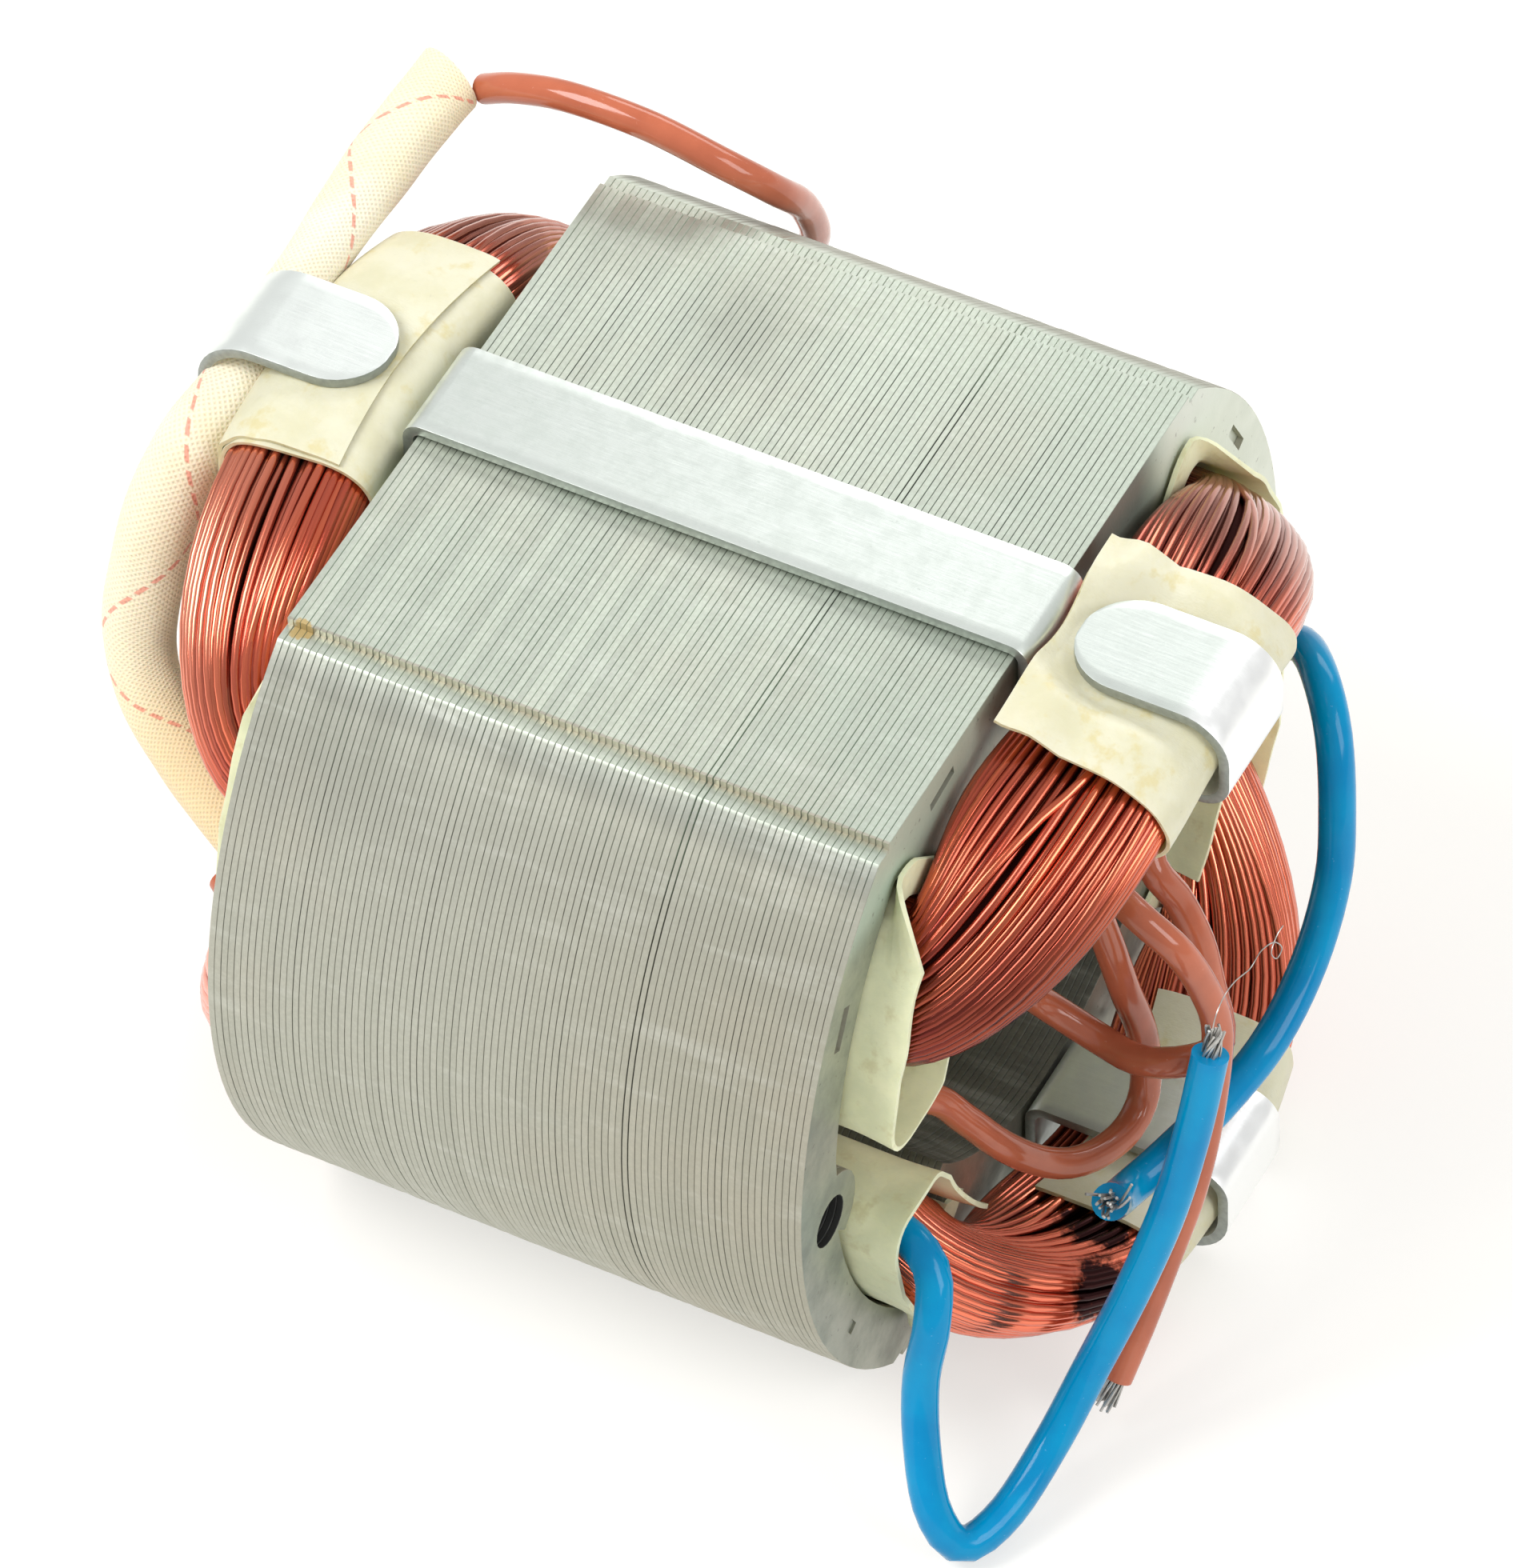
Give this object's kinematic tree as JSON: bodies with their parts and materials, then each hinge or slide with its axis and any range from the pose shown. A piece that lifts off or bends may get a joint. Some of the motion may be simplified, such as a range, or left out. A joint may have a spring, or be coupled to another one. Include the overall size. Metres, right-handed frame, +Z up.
{
  "type": "wound stator",
  "caption": "Laminated stator core with flats, enamelled field windings, paper slot liners, film wraps, plated clips, a woven sleeve and loose stripped leads, for a small series motor.",
  "frame": {"origin": "on the surface that the stator lies on, under the middle of the core, in the middle of the lower clip's strap", "axes": "+X along the bore, towards the end with the free leads; +Y across the flats, away from the viewer; +Z up"},
  "size_m": [0.0852, 0.077, 0.0601],
  "materials": {
    "lamination_steel": "bare silicon steel sheet edges, with faint rust and scratches",
    "enamelled_copper": "copper wire in glossy red-brown enamel",
    "slot_paper": "smooth pale green insulating paper",
    "wrap_film": "cream insulating film with hardened resin",
    "zinc_strip": "zinc plated, mottled and scratched",
    "woven_glass": "woven glass with a red tracer thread",
    "brown_insulation": "glossy brown wire insulation",
    "blue_insulation": "glossy blue wire insulation",
    "tinned_strands": "tinned copper strands"
  },
  "bodies": {
    "root": {"lamination_stack": "lamination_steel", "upper_coil": "enamelled_copper", "lower_coil": "enamelled_copper", "upper_near_liner": "slot_paper", "upper_far_liner": "slot_paper", "lower_near_liner": "slot_paper", "lower_far_liner": "slot_paper", "upper_front_wrap": "wrap_film", "upper_rear_wrap": "wrap_film", "lower_front_wrap": "wrap_film", "lower_rear_wrap": "wrap_film", "upper_clip": "zinc_strip", "lower_clip": "zinc_strip", "glass_sleeve": "woven_glass", "brown_link": "brown_insulation", "brown_lead": "brown_insulation", "blue_lead_a": "blue_insulation", "blue_lead_b": "blue_insulation", "brown_lead_strands": "tinned_strands", "blue_lead_a_strands": "tinned_strands", "blue_lead_b_strands": "tinned_strands"}
  },
  "joints": []
}
